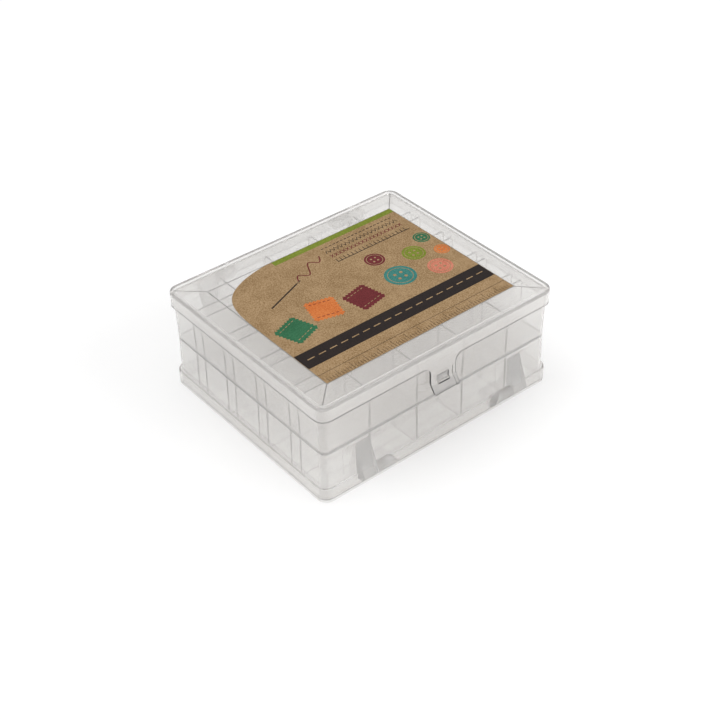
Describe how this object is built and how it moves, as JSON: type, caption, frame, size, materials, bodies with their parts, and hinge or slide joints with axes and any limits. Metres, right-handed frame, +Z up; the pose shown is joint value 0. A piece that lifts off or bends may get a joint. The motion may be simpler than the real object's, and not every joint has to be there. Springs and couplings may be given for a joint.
{
  "type": "bobbin storage box",
  "caption": "Flat hinged storage box in frosted plastic, with rows of small open-topped compartments for bobbins above and below a middle floor, and a snap-latched lid on each face.",
  "frame": {"origin": "middle of the footprint, on the surface that the lower lid's rim stands on", "axes": "+X along the long side, -Y towards the upper lid's latch, +Z up"},
  "size_m": [0.1764, 0.1612, 0.07],
  "materials": {
    "tray_plastic": "natural frosted polypropylene, translucent, satin inside and glossy outside",
    "lid_plastic": "natural polypropylene, clearer than the tray, glossy with a slight haze",
    "label_paper": "uncoated kraft paper with printed bands, matt"
  },
  "bodies": {
    "tray": {"lower_cross_divider_1": "tray_plastic", "lower_cross_divider_2": "tray_plastic", "lower_cross_divider_3": "tray_plastic", "lower_cross_divider_4": "tray_plastic", "lower_hinge_arm_left": "tray_plastic", "lower_hinge_arm_right": "tray_plastic", "lower_latch_catch": "tray_plastic", "lower_row_divider_1": "tray_plastic", "lower_row_divider_2": "tray_plastic", "lower_row_divider_3": "tray_plastic", "lower_row_divider_4": "tray_plastic", "lower_row_divider_5": "tray_plastic", "lower_row_divider_6": "tray_plastic", "lower_row_divider_7": "tray_plastic", "lower_row_divider_8": "tray_plastic", "tray_floor": "tray_plastic", "tray_wall": "tray_plastic", "upper_cross_divider_1": "tray_plastic", "upper_cross_divider_2": "tray_plastic", "upper_cross_divider_3": "tray_plastic", "upper_cross_divider_4": "tray_plastic", "upper_hinge_arm_left": "tray_plastic", "upper_hinge_arm_right": "tray_plastic", "upper_latch_catch": "tray_plastic", "upper_row_divider_1": "tray_plastic", "upper_row_divider_2": "tray_plastic", "upper_row_divider_3": "tray_plastic", "upper_row_divider_4": "tray_plastic", "upper_row_divider_5": "tray_plastic", "upper_row_divider_6": "tray_plastic", "upper_row_divider_7": "tray_plastic", "upper_row_divider_8": "tray_plastic"},
    "upper_lid": {"upper_lid": "lid_plastic", "label": "label_paper"},
    "lower_lid": {"lower_lid": "lid_plastic"}
  },
  "joints": [
    {"name": "upper_lid_hinge", "type": "hinge", "parent": "tray", "child": "upper_lid", "pos_m": [0, 0.077, 0.0592], "axis": [-1, 0, 0], "range_deg": [0, 170]},
    {"name": "lower_lid_hinge", "type": "hinge", "parent": "tray", "child": "lower_lid", "pos_m": [0, -0.077, 0.0108], "axis": [-1, 0, 0], "range_deg": [0, 170]}
  ]
}
